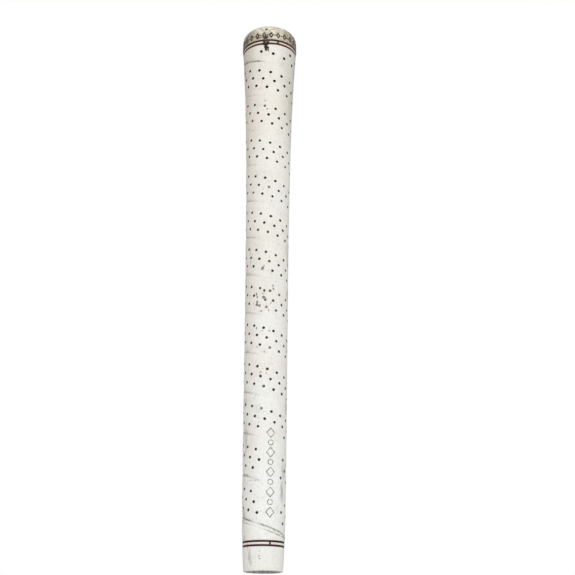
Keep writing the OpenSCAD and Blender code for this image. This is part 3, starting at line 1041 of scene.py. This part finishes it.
def lay_scuffs_and_shade(look):
    """Fine mottling all over, short streaks, and the scuff marks, some of them partly painted
    shade.
    """
    mottle = look.noise(1.3, 4, 0.7, shift=0.6)
    look.lay(look.ramp(mottle, 0.42, 0.68, 0.15), MOTTLE)
    streaks = look.noise(0.8, 4, 0.65, stretch=6, shift=0.2)
    scuffs_and_shade = look.times(look.spots(SCUFFS_AND_SHADE, 0.7, 2.0), look.ramp(streaks, 0.34, 0.56))
    scuffs_and_shade = look.most(scuffs_and_shade, look.ramp(streaks, 0.58, 0.74, 0.4))
    look.lay(look.times(scuffs_and_shade, 0.66), SCUFF_AND_SHADE_GREY)


def lay_specks(look):
    """Specks of dirt in loose groups, and the small marks. Returns how dark they are."""
    specks = look.ramp(look.noise(0.9, 3, 0.55, shift=0.1), 0.62, 0.72, 0.55)
    groups = look.ramp(look.noise(9, 2, shift=0.5), 0.46, 0.66)
    grime = look.most(look.times(specks, groups), look.spots(MARKS, 0.3, 0.9))
    look.lay(grime, SPECK)
    return grime


def lay_bled_paint(look):
    """Paint that has bled beside each stripe."""
    for stripe, strength in (BUTT_STRIPE, 0.65), (MOUTH_STRIPE, 0.4):
        for centre in (stripe, stripe - STRIPE_PITCH):
            gap = look.math("ABSOLUTE", look.math("SUBTRACT", look.z, centre))
            look.lay(look.ramp(gap, 1.0 * MM, 0.4 * MM, strength), BLED_PAINT)


def lay_soil_and_shade(look):
    """Dirt and painted shade in the creases and round the dots, and dark paint on the walls of
    the recesses, which also stands in for their shade.
    """
    soil = look.soil()
    broken = look.ramp(look.noise(0.9, 3, 0.6, shift=0.9), 0.38, 0.56, 1.0, 0.35)
    look.lay(look.times(look.ramp(soil, 0.0, 0.75, 0.9), broken), CREASE_DIRT_AND_SHADE)
    butt = look.ramp(look.z, BUTT_STRIPE - 5 * MM, BUTT_STRIPE - 3 * MM)
    ink = look.mix(butt, BLACK_INK, BROWN_INK)
    look.lay(look.ramp(soil, DARKEST_BEFORE_PAINT + 0.01, 0.95), ink)


def sleeve_rubber():
    look = Look("worn_white_rubber", CLEAN)
    lay_age_and_warm_shade(look)
    lay_side_shade_and_grime(look)
    lay_scuffs_and_shade(look)
    grime = lay_specks(look)
    lay_bled_paint(look)
    lay_soil_and_shade(look)
    lay_smear(look)
    rough = look.ramp(look.noise(7, 3), 0.3, 0.7, 0.72, 0.55)
    rough = look.math("ADD", rough, look.times(grime, 0.15))
    grain = look.bump(look.noise(0.32, 2, 0.6), 0.05, 0.35)
    return look.finish(rough, look.bump(look.noise(2.6, 3), 0.12, 0.25, grain), 0.22)


def cap_dirt_and_shade(look):
    """How dark the cap is: dirt in clouds on the crown, painted shade round its rim where the
    crown turns away, and at both sides partly dirt and partly painted shade.
    """
    crown = look.ramp(look.z, SLEEVE_LENGTH + 5 * MM, SLEEVE_LENGTH + 9 * MM, 0.9, 0.45)
    clouds = look.times(look.ramp(look.noise(1.6, 5, 0.68), 0.44, 0.64), crown)
    high = look.ramp(look.z, SLEEVE_LENGTH + 6.8 * MM, SLEEVE_LENGTH + 8.8 * MM, 0.75)
    rim = look.times(high, look.ramp(look.out(), 5 * MM, 11 * MM, 1.0, 0.3))
    sides = look.most(look.ramp(look.x, -4 * MM, -11 * MM, 0.9),
                      look.ramp(look.x, 4.5 * MM, 10.5 * MM, 0.9))
    patches = look.ramp(look.noise(2.2, 4, 0.6, shift=0.4), 0.3, 0.6, 1.0, 0.45)
    return look.most(look.most(clouds, rim), look.times(sides, patches))


def cap_rubber():
    look = Look("yellowed_cap_rubber", (0.76, 0.71, 0.59))
    look.lay(look.ramp(look.noise(7, 4, 0.6), 0.3, 0.7), (0.60, 0.54, 0.43))
    # Dirt, and painted shade at the rim and at both sides
    look.lay(cap_dirt_and_shade(look), (0.13, 0.10, 0.068))
    joint = look.ramp(look.z, SLEEVE_LENGTH + 1.3 * MM, SLEEVE_LENGTH + 0.2 * MM, 0.55)
    look.lay(joint, (0.30, 0.18, 0.12))
    # Darker where the soil value is set: partly dirt, partly painted shade in the marks, painted
    # shade in the vent and bore
    look.lay(look.ramp(look.soil(), 0.0, 1.0, 0.9), (0.07, 0.052, 0.035))
    lay_smear(look)
    rough = look.ramp(look.noise(3, 3), 0.3, 0.7, 0.55, 0.38)
    return look.finish(rough, look.bump(look.noise(0.5, 3, 0.6), 0.05, 0.4), 0.25)


def stripe_material():
    look = Look("maroon_stripe_paint", (0.019, 0.004, 0.002))
    clouds = look.ramp(look.noise(3.5, 4, 0.6), 0.45, 0.72, 0.45)
    wear = look.math("ADD", clouds, look.ramp(look.z, 30 * MM, 200 * MM, 0.2))
    rubbed = ((TICK_ANGLE, (MOUTH_STRIPE - STRIPE_PITCH / 2) / MM, 1.1, 0.9, 0.9),)
    look.lay(look.most(wear, look.spots(rubbed)), (0.085, 0.019, 0.011))
    lay_smear(look)
    rough = look.ramp(look.noise(1.2, 2), 0.3, 0.7, 0.55, 0.35)
    return look.finish(rough, look.bump(look.noise(0.4, 2), 0.03, 0.3), 0.2)


def dot_material():
    look = Look("black_dot_paint", (0.006, 0.005, 0.004))
    worn = look.ramp(look.soil(), 0.8, 1.0, 0.9)
    patchy = look.times(look.ramp(look.noise(0.6, 3), 0.35, 0.58, 1.0, 0.3), worn)
    below_butt = look.ramp(look.z, 240 * MM, 200 * MM, 0.09)
    look.lay(look.math("ADD", patchy, below_butt), (0.32, 0.30, 0.25))
    rough = look.ramp(look.noise(0.8, 2), 0.3, 0.7, 0.7, 0.45)
    return look.finish(rough, look.bump(look.noise(0.25, 2), 0.03, 0.4), 0.1)


def mark_material():
    look = Look("brown_mark_paint", (0.016, 0.010, 0.007))
    worn = look.ramp(look.soil(), 0.3, 1.0, 0.8, 0.1)
    patchy = look.times(look.ramp(look.noise(0.9, 4, 0.6), 0.42, 0.6), worn)
    look.lay(patchy, (0.26, 0.21, 0.15))
    rough = look.ramp(look.noise(0.8, 2), 0.3, 0.7, 0.6, 0.4)
    return look.finish(rough, look.bump(look.noise(0.25, 2), 0.03, 0.4), 0.15)


def floor_material():
    look = Look("pale_floor", (0.86, 0.86, 0.855))
    look.lay(look.ramp(look.noise(300, 3), 0.3, 0.7), (0.82, 0.82, 0.815))
    return look.finish(0.8, look.bump(look.noise(2, 2), 0.1, 0.1), 0.2)


# ---- stage

# The camera of the photograph. The angles turn it round Z, tip it up and roll it.
CAMERA_PLACE = Vector((0, -482.86, -38.5)) * MM
CAMERA_TURN = 1.175
CAMERA_TILT = 19.352
CAMERA_ROLL = 0.334
CAMERA_LENS = 67.55
FLOOR_HEIGHT = -0.33
WORLD_LIGHT, WORLD_STRENGTH = (1, 0.997, 0.99, 1), 0.56


def make_camera():
    data = bpy.data.cameras.new("camera")
    data.lens, data.sensor_width = CAMERA_LENS, 36
    data.clip_start, data.clip_end = 0.01, 20
    camera = new_object("camera", data)
    aim = Matrix.Rotation(math.radians(-CAMERA_TURN), 4, "Z")
    aim @= Matrix.Rotation(math.radians(90 + CAMERA_TILT), 4, "X")
    aim @= Matrix.Rotation(math.radians(CAMERA_ROLL), 4, "Z")
    camera.matrix_world = Matrix.Translation(CAMERA_PLACE) @ aim
    bpy.context.scene.camera = camera


def area_light(name, place, target, size, power):
    data = bpy.data.lights.new(name, "AREA")
    data.energy, data.size = power, size
    lamp = new_object(name, data)
    lamp.location = place
    lamp.rotation_euler = (Vector(target) - Vector(place)).to_track_quat("-Z", "Y").to_euler()


def make_world():
    """Soft light from all round, and plain white behind the grip."""
    world = bpy.data.worlds.new("studio")
    world.use_nodes = True
    nodes, links = world.node_tree.nodes, world.node_tree.links
    light, shown = nodes["Background"], nodes.new("ShaderNodeBackground")
    for node, colour, strength in (light, WORLD_LIGHT, WORLD_STRENGTH), (shown, (1, 1, 1, 1), 1):
        node.inputs["Color"].default_value = colour
        node.inputs["Strength"].default_value = strength
    seen = nodes.new("ShaderNodeLightPath").outputs["Is Camera Ray"]
    mix = nodes.new("ShaderNodeMixShader")
    for socket, output in zip(mix.inputs, (seen, light.outputs[0], shown.outputs[0])):
        links.new(output, socket)
    links.new(mix.outputs[0], nodes["World Output"].inputs["Surface"])
    bpy.context.scene.world = world


def make_floor():
    bpy.ops.mesh.primitive_plane_add(size=3, location=(0, 0.4, FLOOR_HEIGHT))
    floor = bpy.context.object
    floor.name = "floor"
    floor.data.materials.append(floor_material())


# ---- build

sleeve(sleeve_rubber())
end_cap(cap_rubber())
STRIPE_PAINT = stripe_material()
stripe_paint("butt_stripe", "butt_stripe_paint", BUTT_STRIPE, STRIPE_PAINT)
stripe_paint("mouth_stripe", "mouth_stripe_paint", MOUTH_STRIPE, STRIPE_PAINT)
dot_paint(dot_material())
mark_paint(mark_material())
make_floor()
make_camera()
make_world()
area_light("key", (0.11, -1.14, 0.4), (0, 0, 0.13), 0.9, 7.8)
area_light("top", (0, 0.3, 1.6), (0, 0, 0.1), 1.6, 17)
area_light("back", (0, 1.3, 0.4), (0, 0, 0.13), 0.8, 5.0)
bpy.context.scene.view_settings.view_transform = "Standard"
